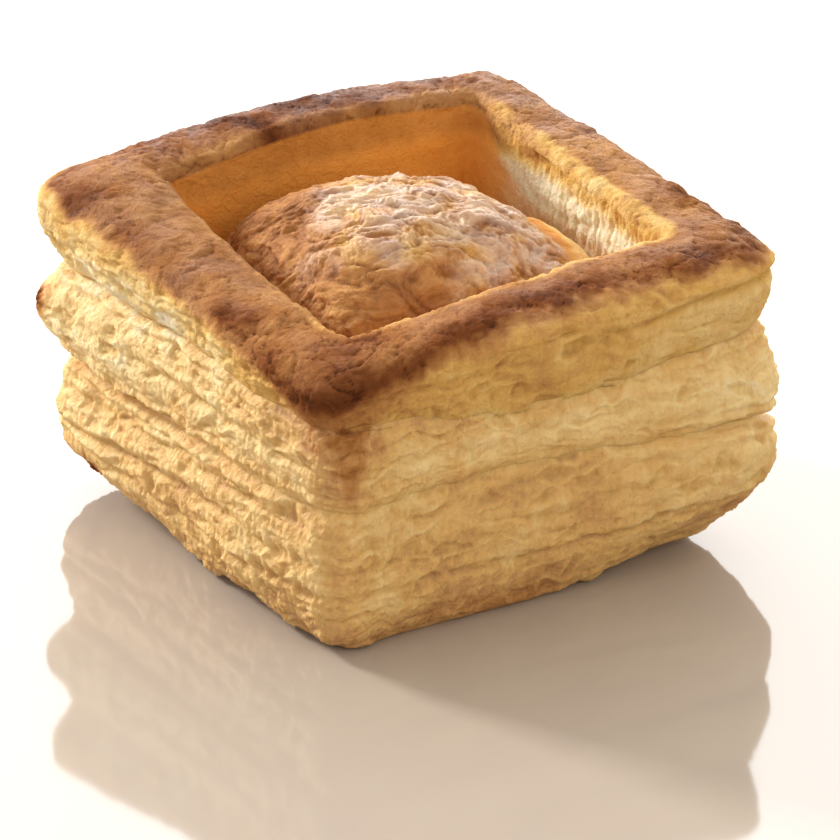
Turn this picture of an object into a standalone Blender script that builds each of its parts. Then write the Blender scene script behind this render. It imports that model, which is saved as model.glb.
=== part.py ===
"""Vol au vent: a square case of puff pastry with a raised rim round its risen middle.

The whole pastry is one baked piece, so it is one solid: a loft of closed rings that runs
from the flat underside up the folded outer wall, over the rim, down the inner wall and
across the trench to the top of the risen middle.
"""
import math

import bpy
import numpy as np

MM = 0.001

# Overall plan, in metres
HALF_WIDTH = 41.0 * MM
CORNER_RADIUS = 6.0 * MM
NEAR_CORNER_SHIFT = np.array([2.6, -1.5]) * MM
NEAR_CORNER_SPREAD = 0.035
NEAR_CORNER_POINT = 0.8 * MM
NEAR_CORNER_POINT_SPREAD = 0.014
RIM_SHIFT_SHARE = 0.45
OPENING_HALF = 28.0 * MM
OPENING_CORNER = 1.4 * MM
OPENING_CENTRE = (0.8 * MM, 1.4 * MM)
RIM_EDGE_RADIUS = 1.8 * MM

# The risen middle
MIDDLE_HALF = 24.7 * MM
MIDDLE_CORNER = 10.0 * MM
MIDDLE_CENTRE = (-0.15 * MM, 2.2 * MM)
MIDDLE_TOP = 52.0 * MM
MIDDLE_LEAN = (-0.03, 0.042)
MIDDLE_FLATNESS = 2.8
SHOULDER_FLATNESS = 14.0
SHOULDER_ROUNDNESS = 0.3
TRENCH_HALF = 25.9 * MM
TRENCH_CORNER = 4.5 * MM
TRENCH_HEIGHT = 31.0 * MM
MIDDLE_FOOT_HEIGHT = 32.0 * MM
INNER_WALL_TAPER = 0.7 * MM

# The flat underside
UNDERSIDE_FLAT = 0.72
UNDERSIDE_RING_FRACTIONS = (0.36, UNDERSIDE_FLAT, 0.88)

# Eight stations round the pastry: near corner, front, right corner, right, far corner,
# back, left corner, left. Each row gives a height or an outward offset at every station.
BASE_LIFT = np.array([0.2, 0.1, 2.4, 0.4, 0.6, 0.3, 2.8, 0.8]) * MM
BASE_OFFSET = np.array([-4.6, -4.0, -8.6, -4.0, -6.5, -4.0, -7.0, -4.0]) * MM
LOWER_CREASE_HEIGHT = np.array([23.0, 24.2, 22.4, 23.5, 23.0, 23.2, 22.3, 22.8]) * MM
LOWER_CREASE_OFFSET = np.array([-1.0, -1.0, -0.3, -0.8, -1.0, -1.0, -2.0, -1.0]) * MM
UPPER_CREASE_HEIGHT = np.array([36.5, 33.0, 37.3, 36.5, 38.5, 38.0, 38.0, 38.0]) * MM
UPPER_CREASE_OFFSET = np.array([-0.8, -0.8, -1.8, -1.0, -1.2, -1.0, -1.0, -1.0]) * MM
RIM_WIDEST_HEIGHT = np.array([41.0, 43.5, 46.5, 48.5, 50.5, 51.0, 47.0, 43.5]) * MM
RIM_WIDEST_OFFSET = np.array([0.6, 0.8, 0.8, 1.4, 1.6, 3.2, 4.2, 1.0]) * MM
RIM_CREST_HEIGHT = np.array([44.8, 47.6, 50.0, 52.6, 55.8, 56.8, 52.4, 47.4]) * MM
LOWER_FOLD_PEAK_OFFSET = np.array([0.5, -0.2, 1.9, 0.3, 1.5, 0.2, 1.6, 0.0]) * MM
LOWER_FOLD_PEAK_PLACE = np.array([0.35, 0.35, 0.58, 0.40, 0.40, 0.35, 0.38, 0.35])
UPPER_FOLD_PEAK_OFFSET = np.array([1.0, 0.2, 1.8, 0.8, 2.0, 0.8, 4.6, 0.5]) * MM
UPPER_FOLD_PEAK_PLACE = np.array([0.36, 0.36, 0.37, 0.36, 0.40, 0.36, 0.48, 0.36])
FOLD_SHARPNESS = 0.75
MIDDLE_ROUNDNESS = np.array([0.62, 0.62, 0.62, 0.60, 0.75, 0.45, 0.51, 0.52])
MIDDLE_FOOT_OFFSET = np.array([0.0, 0.0, 0.8, 1.2, 0.2, 0.0, 0.0, 0.0]) * MM
SHOULDER_RISE = np.array([0.0, 4.0, 11.5, 12.8, 3.0, 0.0, 0.0, 0.0]) * MM
TRENCH_OFFSET = np.array([0.0, 0.0, 0.5, 0.9, 0.2, 0.0, 0.0, 0.0]) * MM

# How finely the loft is cut
POINTS_AROUND = 96
LOWER_FOLD_RINGS = 7
UPPER_FOLD_RINGS = 6
RIM_UNDERSIDE_RINGS = 4
RIM_TOP_RINGS = 6
RIM_EDGE_RINGS = 3
INNER_WALL_RINGS = 4
MIDDLE_RINGS = 9

CRUST_COLOUR = (0.55, 0.30, 0.11, 1.0)
CRUST_ROUGHNESS = 0.6


def clear_scene():
    """Remove every object of the open scene."""
    for thing in list(bpy.data.objects):
        bpy.data.objects.remove(thing, do_unlink=True)


def around(values):
    """Read the eight station values at every point round, on a closed Catmull-Rom curve."""
    place = np.arange(POINTS_AROUND) / POINTS_AROUND * len(values)
    first = np.floor(place).astype(int)
    part = place - first
    before, here, after, beyond = (values[(first + step) % len(values)] for step in (-1, 0, 1, 2))
    return 0.5 * (2 * here + (after - before) * part
                  + (2 * before - 5 * here + 4 * after - beyond) * part ** 2
                  + (3 * here - before - 3 * after + beyond) * part ** 3)


def outline(half, corner, centre=(0.0, 0.0)):
    """A square with round corners, cut at equal steps of length from the near corner."""
    straight = half - corner
    quarter_length = 2 * straight + corner * math.pi / 2
    turn = np.arange(POINTS_AROUND) / POINTS_AROUND * 4
    quarter = np.floor(turn + 0.5)
    run = (turn - quarter) * quarter_length
    arc = corner * math.pi / 4
    angle = np.clip(run, -arc, arc) / corner
    beyond = run - np.clip(run, -arc, arc)
    heading = quarter * math.pi / 2 - math.pi * 3 / 4
    along = np.stack([np.cos(heading + angle), np.sin(heading + angle)], axis=1)
    tangent = np.stack([-along[:, 1], along[:, 0]], axis=1)
    middle = math.sqrt(2) * straight * np.stack([np.cos(heading), np.sin(heading)], axis=1)
    return middle + corner * along + beyond[:, None] * tangent + np.array(centre)


def pushed(flat, offset):
    """Move the points of a plan outline away from the centre by the offsets."""
    reach = np.linalg.norm(flat, axis=1)
    return flat * (1 + offset / reach)[:, None]


def outer_wall(share=1.0):
    """The plan of the outer walls: the square, its near corner pointed and drawn aside.

    The shift, of which the given share is taken, and the point both fade as
    exp(-(turn / spread) ** 2) away from that corner.
    """
    flat = outline(HALF_WIDTH, CORNER_RADIUS)
    turn = (np.arange(POINTS_AROUND) / POINTS_AROUND + 0.5) % 1 - 0.5
    flat = pushed(flat, NEAR_CORNER_POINT * np.exp(-(turn / NEAR_CORNER_POINT_SPREAD) ** 2))
    return flat + share * np.exp(-(turn / NEAR_CORNER_SPREAD) ** 2)[:, None] * NEAR_CORNER_SHIFT


def ring(flat, height):
    """One ring of the loft: a plan outline with the height of each of its points."""
    return np.column_stack([flat, np.broadcast_to(height, len(flat))])


def underside_rings(edge, lift):
    """Rings of the underside, level in the middle and rising to the lifted corners."""
    rings = []
    for fraction in UNDERSIDE_RING_FRACTIONS:
        rise = max(0.0, (fraction - UNDERSIDE_FLAT) / (1 - UNDERSIDE_FLAT)) ** 2
        rings.append(ring(edge * fraction, lift * rise))
    return rings


def fold_rings(wall, low, high, peak_offset, peak_place, count):
    """Rings of one puffed fold, from above its lower crease up to its upper crease.

    The offset runs straight from crease to crease, plus a bulge that follows a power of
    sin(pi * q ** g), where g puts the widest place at the fraction peak_place of the rise.
    """
    low_height, low_offset = low
    high_height, high_offset = high
    power = math.log(0.5) / np.log(peak_place)
    swell = peak_offset - (low_offset + (high_offset - low_offset) * peak_place)
    rings = []
    for step in range(1, count + 1):
        rise = step / count
        bulge = np.abs(np.sin(math.pi * rise ** power)) ** FOLD_SHARPNESS
        offset = low_offset + (high_offset - low_offset) * rise + swell * bulge
        rings.append(ring(pushed(wall, offset), low_height + (high_height - low_height) * rise))
    return rings


def rim_rings(low_wall, crease_height, crease_offset):
    """Rings of the rim: out from the crease, over its sloping top and round its inner edge."""
    wall = outer_wall(RIM_SHIFT_SHARE)
    widest_height = around(RIM_WIDEST_HEIGHT)
    widest_offset = around(RIM_WIDEST_OFFSET)
    crest_height = around(RIM_CREST_HEIGHT)
    crest = outline(OPENING_HALF + RIM_EDGE_RADIUS, OPENING_CORNER + RIM_EDGE_RADIUS, OPENING_CENTRE)
    rings = []
    for step in range(1, RIM_UNDERSIDE_RINGS + 1):
        rise = step / RIM_UNDERSIDE_RINGS
        swell = math.sin(math.pi / 2 * rise) ** FOLD_SHARPNESS
        offset = crease_offset + (widest_offset - crease_offset) * swell
        flat = pushed(low_wall + (wall - low_wall) * swell, offset)
        rings.append(ring(flat, crease_height + (widest_height - crease_height) * rise))
    outer = pushed(wall, widest_offset)
    for step in range(1, RIM_TOP_RINGS + 1):
        turn = step / RIM_TOP_RINGS * math.pi / 2
        flat = crest + (outer - crest) * math.cos(turn)
        rings.append(ring(flat, widest_height + (crest_height - widest_height) * math.sin(turn)))
    for step in range(1, RIM_EDGE_RINGS + 1):
        turn = step / RIM_EDGE_RINGS * math.pi / 2
        inwards = RIM_EDGE_RADIUS * math.sin(turn)
        half = OPENING_HALF + RIM_EDGE_RADIUS - inwards
        corner = OPENING_CORNER + RIM_EDGE_RADIUS - inwards
        drop = RIM_EDGE_RADIUS * (1 - math.cos(turn))
        rings.append(ring(outline(half, corner, OPENING_CENTRE), crest_height - drop))
    return rings


def inside_rings():
    """Rings of the inner wall, the trench and the risen middle."""
    edge_height = around(RIM_CREST_HEIGHT) - RIM_EDGE_RADIUS
    rings = []
    for step in range(1, INNER_WALL_RINGS + 1):
        fall = step / INNER_WALL_RINGS
        flat = outline(OPENING_HALF - INNER_WALL_TAPER * fall, OPENING_CORNER, OPENING_CENTRE)
        rings.append(ring(flat, edge_height + (MIDDLE_FOOT_HEIGHT - edge_height) * fall))
    trench = pushed(outline(TRENCH_HALF, TRENCH_CORNER), around(TRENCH_OFFSET))
    rings.append(ring(trench + np.array(OPENING_CENTRE), TRENCH_HEIGHT))
    return rings + middle_rings()


def middle_rings():
    """Rings of the risen middle: a leaning mound, and the low shoulder at its right side.

    A ring drawn in to the fraction q of the foot stands at (1 - q ** flatness) ** roundness
    of the mound's rise, or of the shoulder's rise where that is higher.
    """
    foot = pushed(outline(MIDDLE_HALF, MIDDLE_CORNER), around(MIDDLE_FOOT_OFFSET))
    roundness = around(MIDDLE_ROUNDNESS)
    shoulder_rise = np.maximum(around(SHOULDER_RISE), 0.0)
    rings = []
    for step in range(MIDDLE_RINGS):
        reach = math.cos(step / MIDDLE_RINGS * math.pi / 2)
        swell = (1 - reach ** MIDDLE_FLATNESS) ** roundness
        flat = foot * reach
        mound = (MIDDLE_TOP - MIDDLE_FOOT_HEIGHT + flat @ np.array(MIDDLE_LEAN)) * swell
        shoulder = shoulder_rise * (1 - reach ** SHOULDER_FLATNESS) ** SHOULDER_ROUNDNESS
        height = MIDDLE_FOOT_HEIGHT + np.maximum(mound, shoulder)
        rings.append(ring(flat + np.array(MIDDLE_CENTRE), height))
    return rings


def pastry_rings():
    """All the rings in order, from the middle of the underside to the top of the middle."""
    wall = outer_wall()
    base = (np.maximum(around(BASE_LIFT), 0.0), around(BASE_OFFSET))
    lower = (around(LOWER_CREASE_HEIGHT), around(LOWER_CREASE_OFFSET))
    upper = (around(UPPER_CREASE_HEIGHT), around(UPPER_CREASE_OFFSET))
    edge = pushed(wall, base[1])
    rings = underside_rings(edge, base[0])
    rings.append(ring(edge, base[0]))
    rings += fold_rings(wall, base, lower, around(LOWER_FOLD_PEAK_OFFSET),
                        around(LOWER_FOLD_PEAK_PLACE), LOWER_FOLD_RINGS)
    rings += fold_rings(wall, lower, upper, around(UPPER_FOLD_PEAK_OFFSET),
                        around(UPPER_FOLD_PEAK_PLACE), UPPER_FOLD_RINGS)
    rings += rim_rings(wall, *upper)
    rings += inside_rings()
    return rings


def loft(rings, bottom, top):
    """Points and faces that join the rings, with a fan to one point at each end."""
    count = len(rings[0])
    points = np.vstack([bottom, *rings, top])
    faces = []
    for level in range(len(rings) - 1):
        start = 1 + level * count
        for step in range(count):
            following = (step + 1) % count
            faces.append((start + step, start + following,
                          start + count + following, start + count + step))
    last = 1 + (len(rings) - 1) * count
    for step in range(count):
        following = (step + 1) % count
        faces.append((0, 1 + following, 1 + step))
        faces.append((len(points) - 1, last + step, last + following))
    return points, faces


def centred(points):
    """Bring the middle of the plan's box to x = y = 0 and the underside to z = 0."""
    low = points.min(axis=0)
    high = points.max(axis=0)
    return points - np.array([(low[0] + high[0]) / 2, (low[1] + high[1]) / 2, low[2]])


def crust_material():
    """Golden brown baked pastry."""
    material = bpy.data.materials.new("baked_pastry")
    material.use_nodes = True
    shader = material.node_tree.nodes["Principled BSDF"]
    shader.inputs["Base Color"].default_value = CRUST_COLOUR
    shader.inputs["Roughness"].default_value = CRUST_ROUGHNESS
    return material


def make_pastry(collection):
    """The vol au vent as one closed mesh."""
    bottom = np.zeros((1, 3))
    top = np.array([[*MIDDLE_CENTRE, MIDDLE_TOP]])
    points, faces = loft(pastry_rings(), bottom, top)
    mesh = bpy.data.meshes.new("vol_au_vent")
    mesh.from_pydata(centred(points).tolist(), [], faces)
    mesh.materials.append(crust_material())
    mesh.shade_smooth()
    pastry = bpy.data.objects.new("vol_au_vent", mesh)
    collection.objects.link(pastry)
    return pastry


def main():
    clear_scene()
    collection = bpy.data.collections.new("vol_au_vent")
    bpy.context.scene.collection.children.link(collection)
    make_pastry(collection)


main()
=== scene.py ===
"""Vol au vent: a square case of puff pastry with a browned rim round its risen middle.

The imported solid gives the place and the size. The pieces that show are surfaces worked
out on grids: rows of closed rings, pushed in and out by plies, creases, wrinkles and pits.
"""
import itertools
import math

import bpy
import numpy as np
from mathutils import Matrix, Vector


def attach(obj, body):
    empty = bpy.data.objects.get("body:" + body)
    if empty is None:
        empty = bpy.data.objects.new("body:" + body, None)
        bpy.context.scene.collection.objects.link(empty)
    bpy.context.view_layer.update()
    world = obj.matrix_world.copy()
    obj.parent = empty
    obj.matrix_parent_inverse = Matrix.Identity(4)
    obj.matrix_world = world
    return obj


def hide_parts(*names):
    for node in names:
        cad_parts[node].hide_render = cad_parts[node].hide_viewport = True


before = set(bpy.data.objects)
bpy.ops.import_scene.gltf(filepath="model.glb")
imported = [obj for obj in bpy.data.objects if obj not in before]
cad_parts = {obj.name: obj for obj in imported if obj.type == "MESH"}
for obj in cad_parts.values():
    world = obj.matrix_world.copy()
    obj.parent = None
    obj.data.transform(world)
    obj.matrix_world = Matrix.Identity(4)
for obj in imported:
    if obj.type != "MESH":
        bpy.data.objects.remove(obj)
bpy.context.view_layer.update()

MM = 0.001
NODE = "vol_au_vent"
BODY = "root"

# The plan, in metres, and the move that brings its box's middle to the origin
HALF_WIDTH = 41.0 * MM
CORNER_RADIUS = 6.0 * MM
NEAR_CORNER_SHIFT = np.array([2.6, -1.5]) * MM
NEAR_CORNER_SPREAD = 0.035
NEAR_CORNER_POINT = 0.8 * MM
NEAR_CORNER_POINT_SPREAD = 0.014
RIM_SHIFT_SHARE = 0.45
OPENING_HALF = 28.0 * MM
OPENING_CORNER = 1.4 * MM
OPENING_CENTRE = np.array([0.8, 1.4]) * MM
RIM_EDGE_RADIUS = 1.8 * MM
PLAN_SHIFT = np.array([0.74, -0.65, 0.0]) * MM

# The risen middle and the trench round it
MIDDLE_HALF = 24.7 * MM
MIDDLE_CORNER = 10.0 * MM
MIDDLE_CENTRE = np.array([-0.15, 2.2]) * MM
MIDDLE_TOP = 52.0 * MM
MIDDLE_LEAN = np.array([-0.03, 0.042])
MIDDLE_FLATNESS = 2.8
SHOULDER_FLATNESS = 14.0
SHOULDER_ROUNDNESS = 0.3
MIDDLE_FOOT_HEIGHT = 32.0 * MM
TRENCH_HALF = 25.9 * MM
TRENCH_CORNER = 4.5 * MM
TRENCH_HEIGHT = 31.0 * MM
INNER_WALL_TAPER = 0.7 * MM
UNDERSIDE_FLAT = 0.72

# Eight stations round the pastry: near corner, front, right corner, right, far corner,
# back, left corner, left. Heights and outward offsets of the folds are the solid's, but for
# a few tenths of a millimetre at the creases from the near corner to the right corner.
BASE_LIFT = np.array([0.2, 0.1, 2.4, 0.4, 0.6, 0.3, 2.8, 0.8]) * MM
BASE_OFFSET = np.array([-4.6, -4.0, -8.6, -4.0, -6.5, -4.0, -7.0, -4.0]) * MM
LOWER_CREASE_HEIGHT = np.array([23.0, 24.2, 22.4, 23.5, 23.0, 23.2, 22.3, 22.8]) * MM
LOWER_CREASE_OFFSET = np.array([-0.8, -0.6, -0.5, -0.8, -1.0, -1.0, -2.0, -1.0]) * MM
UPPER_CREASE_HEIGHT = np.array([36.5, 33.0, 37.3, 36.5, 38.5, 38.0, 38.0, 38.0]) * MM
UPPER_CREASE_OFFSET = np.array([-0.5, -0.4, -1.8, -1.0, -1.2, -1.0, -1.0, -1.0]) * MM
RIM_WIDEST_HEIGHT = np.array([41.0, 43.5, 46.5, 48.5, 50.5, 51.0, 47.0, 43.5]) * MM
RIM_WIDEST_OFFSET = np.array([0.6, 0.8, 0.8, 1.4, 1.6, 3.2, 4.2, 1.0]) * MM
RIM_CREST_HEIGHT = np.array([44.8, 47.6, 50.0, 52.6, 55.8, 56.8, 52.4, 47.4]) * MM
LOWER_PEAK_OFFSET = np.array([0.5, -0.2, 1.9, 0.3, 1.5, 0.2, 1.6, 0.0]) * MM
LOWER_PEAK_PLACE = np.array([0.35, 0.35, 0.58, 0.40, 0.40, 0.35, 0.38, 0.35])
UPPER_PEAK_OFFSET = np.array([1.0, 0.2, 1.8, 0.8, 2.0, 0.8, 4.6, 0.5]) * MM
UPPER_PEAK_PLACE = np.array([0.36, 0.36, 0.37, 0.36, 0.40, 0.36, 0.48, 0.36])
MIDDLE_ROUNDNESS = np.array([0.62, 0.62, 0.62, 0.60, 0.75, 0.45, 0.51, 0.52])
MIDDLE_FOOT_OFFSET = np.array([0.0, 0.0, 0.8, 1.2, 0.2, 0.0, 0.0, 0.0]) * MM
SHOULDER_RISE = np.array([0.0, 4.0, 11.5, 12.8, 3.0, 0.0, 0.0, 0.0]) * MM
TRENCH_OFFSET = np.array([0.0, 0.0, 0.5, 0.9, 0.2, 0.0, 0.0, 0.0]) * MM
LOWER_SHARPNESS = np.array([0.75, 0.75, 0.8, 0.75, 0.8, 0.75, 0.8, 0.75])
UPPER_SHARPNESS = np.array([0.75, 0.7, 0.75, 0.7, 0.9, 0.75, 1.25, 0.75])

# Looks round the same eight stations, or sixteen with one more between each two: how crinkled, fibrous,
# browned, glossy (with a painted pale highlight), soft and drawn in the dough is
CRINKLE = np.array([0.62, 0.17, 0.3, 0.5, 0.8, 0.8, 0.58, 0.62])
FIBRE = np.array([1.0, 0.9, 0.8, 0.8, 0.6, 0.7, 0.5, 1.0])
SIDE_BROWNING = np.array([0.34, 0.375, 0.26, 0.24, 0.25, 0.24, 0.26, 0.33])
SHOULDER_BROWNING = np.array([1.0, 1.0, 0.8, 0.3, 0.4, 0.6, 0.5, 0.35])
EDGE_BROWNING = np.array([0.44, 0.38, 0.32, 0.24, 0.50, 0.60, 0.56, 0.52])
TOP_BROWNING = np.array([0.67, 0.66, 0.63, 0.60, 0.69, 0.86, 0.65, 0.63])
TOP_GLOSS_AND_HIGHLIGHT = np.array([0.01, 0.04, 0.06, 0.06, 0.06, 0.04, 0.05, 0.045])
SOFTNESS = np.array([0.26, 0.42, 0.40, 0.30, 0.25, 0.25, 0.26, 0.22])
PINCH = np.array([0.15, 0.1, 0.05, 0.25, 1.2, 1.0, 1.0, 1.0,
                  1.0, 1.0, 1.0, 1.0, 1.1, 1.2, 1.2, 0.8])
INNER_ROUGHNESS = np.array([0.3, 0.3, 1.0, 1.5, 0.5, 0.05, 0.05, 0.3])
INNER_BROWNING = np.array([0.4, 0.4, 0.4, 0.3, 0.08, 0.0, 0.0, 0.03,
                           0.30, 0.37, 0.40, 0.44, 0.5, 0.45, 0.4, 0.4])
CRUST_DEPTH = np.array([3.0, 3.0, 2.0, 1.5, 4.0, 5.0, 4.0, 3.0]) * MM
# Painted light on the inner walls at sixteen stations: how strong the orange glow of light let through them
# is where they lie in shade, then how far under the inner edge it starts, which is a painted shadow's edge
PAINTED_GLOW = np.array([0.6, 0.6, 0.6, 0.6, 0.3, 0.35, 0.45, 0.6,
                  1.0, 1.0, 0.9, 0.9, 1.0, 0.9, 0.8, 0.7])
PAINTED_GLOW_LINE = np.array([-5.0, -5.0, -5.0, -3.0, 3.0, 7.0, 8.0, 8.0,
                       -2.0, -6.0, -6.0, -6.0, -6.0, -6.0, -6.0, -5.0]) * MM

# Browned tips, and one paler place that is painted light, lifting the shade under the left rim's overhang:
# place round, its spread, height and its spread in millimetres, strength
TIPS = (
    (0.752, 0.012, 30.9, 2.4, 0.80),
    (0.748, 0.016, 14.0, 1.6, 0.25),
    (0.755, 0.034, 5.0, 3.2, 0.50),
    (0.250, 0.030, 8.0, 4.0, 0.11),
    (0.215, 0.030, 8.0, 2.5, 0.08),
    (0.004, 0.020, 31.0, 6.0, 0.26),
    (0.000, 0.024, 37.0, 3.2, 0.22),
    # Painted light: a paler place that lifts the shade under the left rim's overhang and its crease
    (0.840, 0.080, 39.0, 5.0, -0.22),
)

# A lifted spot of the underside's edge: place round, spread and height
LIFTED_SPOT = (0.922, 0.024, 1.1 * MM)

# Scorched blisters of the crust: place round, spread, place across the rim, spread, strength
SCORCHES = (
    (0.664, 0.009, 0.75, 0.40, 0.24),
    (0.633, 0.011, 0.60, 0.35, 0.18),
    (0.612, 0.006, 0.50, 0.30, 0.12),
    (0.915, 0.010, 0.35, 0.20, 0.20),
    (0.934, 0.008, 0.62, 0.16, 0.12),
    (0.955, 0.008, 0.75, 0.14, 0.12),
    (0.778, 0.010, 0.40, 0.22, 0.14),
    (0.070, 0.010, 0.45, 0.20, 0.12),
    (0.540, 0.012, 0.60, 0.20, 0.14),
    (0.320, 0.012, 0.50, 0.20, 0.12),
)

# The darker smear of the crust at the near corner: place round, spread and strength
CORNER_SMEAR = (0.007, 0.03, 0.12)

# Long creases: heights round the stations, depths round the stations, width
RIM_LINE = (np.array([40.2, 40.6, 45.8, 44.0, 46.0, 45.0, 42.0, 40.8]) * MM,
            np.array([0.5, 0.45, 1.1, 0.7, 0.6, 0.6, 0.3, 1.0]) * MM, 0.9 * MM)
UPPER_LINE = (np.array([29.8, 28.6, 31.0, 30.0, 30.0, 30.0, 31.0, 30.2]) * MM,
              np.array([0.45, 0.35, 0.1, 0.6, 0.6, 0.7, 0.1, 1.1]) * MM, 1.0 * MM)
LOWER_LINES = (
    (np.array([19.8, 20.6, 19.0, 19.0, 19.0, 18.5, 17.8, 18.9]) * MM,
     np.array([0.20, 0.40, 0.15, 0.6, 0.6, 0.7, 0.7, 1.2]) * MM, 0.9 * MM),
    (np.array([13.8, 15.0, 17.2, 14.0, 14.0, 14.5, 12.0, 14.2]) * MM,
     np.array([0.15, 0.25, 0.3, 0.5, 0.5, 0.6, 1.2, 1.0]) * MM, 1.0 * MM),
    (np.array([9.6, 9.2, 10.8, 9.0, 9.0, 9.0, 9.8, 8.4]) * MM,
     np.array([0.25, 0.6, 0.4, 0.6, 0.6, 0.6, 0.7, 0.8]) * MM, 0.7 * MM),
)

# Height of the crust's lower border at sixteen stations, and how much the height that
# counts gains for each metre further in, as it does by eye from in front and above
CRUST_BORDER = np.array([38.4, 44.2, 47.4, 48.2, 48.0, 48.4, 48.8, 50.0,
                         51.0, 51.5, 51.5, 50.0, 48.4, 47.0, 44.8, 43.0]) * MM
BORDER_SLOPE = 0.41

# Grid sizes
SIDE_COLUMNS = 980
RIM_COLUMNS = 780
MIDDLE_COLUMNS = 560

# How a fold tucks in: how far past its creases it runs, and how far in its hidden ring lies
TUCK_OVER = 0.5 * MM
TUCK_UNDER = 0.4 * MM
HIDDEN_INSET = -4.5 * MM

# The camera, from the photo's vanishing lines and the object's mirror image
CAMERA_AZIMUTH = math.radians(-30.85)
CAMERA_ELEVATION = math.radians(22.43)
CAMERA_DISTANCE = 828.0 * MM
CAMERA_TARGET = Vector((-3.33 * MM, -10.23 * MM, 20.0 * MM))
SENSOR_WIDTH = 36.0  # millimetres, as Blender counts a lens
FOCAL_PIXELS = 5400.0
FRAME_PIXELS = 840.0

# The lamps: name, azimuth and elevation in degrees, distance, size, power and colour
LAMPS = (
    ("back_lamp", 203.0, 22.0, 0.9, 0.16, 10.5, (1.0, 0.96, 0.90)),
    ("left_fill", -84.0, 18.0, 1.0, 0.6, 1.8, (1.0, 0.98, 0.93)),
    ("front_fill", 15.0, 25.0, 1.2, 0.8, 5.0, (1.0, 0.88, 0.68)),
)

# Random tables for the noises
rng = np.random.default_rng(20)
ORDER = rng.permutation(256)
SLOPES = rng.normal(size=(256, 3))
SLOPES /= np.linalg.norm(SLOPES, axis=1, keepdims=True)
SPOTS = rng.random((256, 3))
TAGS = rng.random(256)
STARTS = rng.random((64, 3)) * 200.0


def lattice_key(cell):
    """One of 256 numbers for each whole-numbered lattice cell."""
    first = ORDER[cell[..., 0] & 255]
    second = ORDER[(first + cell[..., 1]) & 255]
    return ORDER[(second + cell[..., 2]) & 255]


def noise(place, size, seed):
    """Gradient noise, about -1 to 1: random slopes on a cubic lattice of the given size,
    blended by 6 t^5 - 15 t^4 + 10 t^3."""
    spot = place / np.asarray(size) + STARTS[seed]
    cell = np.floor(spot).astype(np.int64)
    part = spot - cell
    fade = part ** 3 * (part * (part * 6 - 15) + 10)
    total = np.zeros(place.shape[:-1])
    for corner in itertools.product((0, 1), repeat=3):
        slope = SLOPES[lattice_key(cell + corner)]
        share = np.prod(np.where(corner, fade, 1 - fade), axis=-1)
        total += share * np.sum(slope * (part - corner), axis=-1)
    return 1.6 * total


def fractal(place, size, octaves, seed, gain=0.5):
    """Sum of noises, each half the size of the last and gain times as strong."""
    total = 0.0
    for octave in range(octaves):
        total = total + gain ** octave * noise(place, np.asarray(size) / 2 ** octave, seed + octave)
    return total


def ridges(place, size, octaves, seed, gain=0.5, power=2):
    """Keen ridges, 0 to about 1: one less the noise's absolute value, to a power, summed."""
    total = 0.0
    weight = 0.0
    for octave in range(octaves):
        layer = 1 - np.abs(noise(place, np.asarray(size) / 2 ** octave, seed + octave))
        total = total + gain ** octave * np.clip(layer, 0, 1) ** power
        weight += gain ** octave
    return total / weight


def cells(place, size, seed):
    """Distances, in cells, to the nearest and the second of one random spot per lattice
    cell, and the nearest cell's own random number."""
    spot = place / np.asarray(size) + STARTS[seed]
    cell = np.floor(spot).astype(np.int64)
    nearest = np.full(place.shape[:-1], 9.0)
    second = nearest.copy()
    tag = np.zeros(place.shape[:-1])
    for step in itertools.product((-1, 0, 1), repeat=3):
        key = lattice_key(cell + step)
        gap = np.linalg.norm(cell + step + SPOTS[key] - spot, axis=-1)
        closer = gap < nearest
        second = np.where(closer, nearest, np.minimum(second, gap))
        tag = np.where(closer, TAGS[key], tag)
        nearest = np.where(closer, gap, nearest)
    return nearest, second, tag


def ease(low, high, value):
    """0 below low, 1 above high, and 3 t^2 - 2 t^3 between."""
    part = np.clip((value - low) / (high - low), 0, 1)
    return part * part * (3 - 2 * part)


def bell(value):
    """1 at zero, falling away as exp(-value^2)."""
    return np.exp(-value ** 2)


def turns(columns):
    """The fraction round the pastry of each column, from the near corner."""
    return np.arange(columns) / columns


def around(turn, values):
    """Read station values, spread evenly round, on a closed Catmull-Rom curve."""
    place = turn * len(values)
    first = np.floor(place).astype(int)
    part = place - first
    before, here, after, beyond = (values[(first + step) % len(values)] for step in (-1, 0, 1, 2))
    return 0.5 * (2 * here + (after - before) * part
                  + (2 * before - 5 * here + 4 * after - beyond) * part ** 2
                  + (3 * here - before - 3 * after + beyond) * part ** 3)


def round_from(turn, where):
    """How far round from a place each fraction lies, -0.5 to 0.5."""
    return (turn - where + 0.5) % 1 - 0.5


def outline(turn, half, corner, centre=(0.0, 0.0)):
    """A square with round corners, cut at equal steps of length from the near corner."""
    straight = half - corner
    quarter_length = 2 * straight + corner * math.pi / 2
    quarter = np.floor(turn * 4 + 0.5)
    run = (turn * 4 - quarter) * quarter_length
    arc = corner * math.pi / 4
    angle = np.clip(run, -arc, arc) / corner
    beyond = run - np.clip(run, -arc, arc)
    heading = quarter * math.pi / 2 - math.pi * 3 / 4
    along = np.stack([np.cos(heading + angle), np.sin(heading + angle)], axis=-1)
    tangent = np.stack([-along[..., 1], along[..., 0]], axis=-1)
    middle = math.sqrt(2) * straight * np.stack([np.cos(heading), np.sin(heading)], axis=-1)
    return middle + corner * along + beyond[..., None] * tangent + np.asarray(centre)


def pushed(flat, offset):
    """Plan points moved away from the centre by the offsets."""
    reach = np.linalg.norm(flat, axis=-1)
    return flat * (1 + offset / reach)[..., None]


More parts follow.
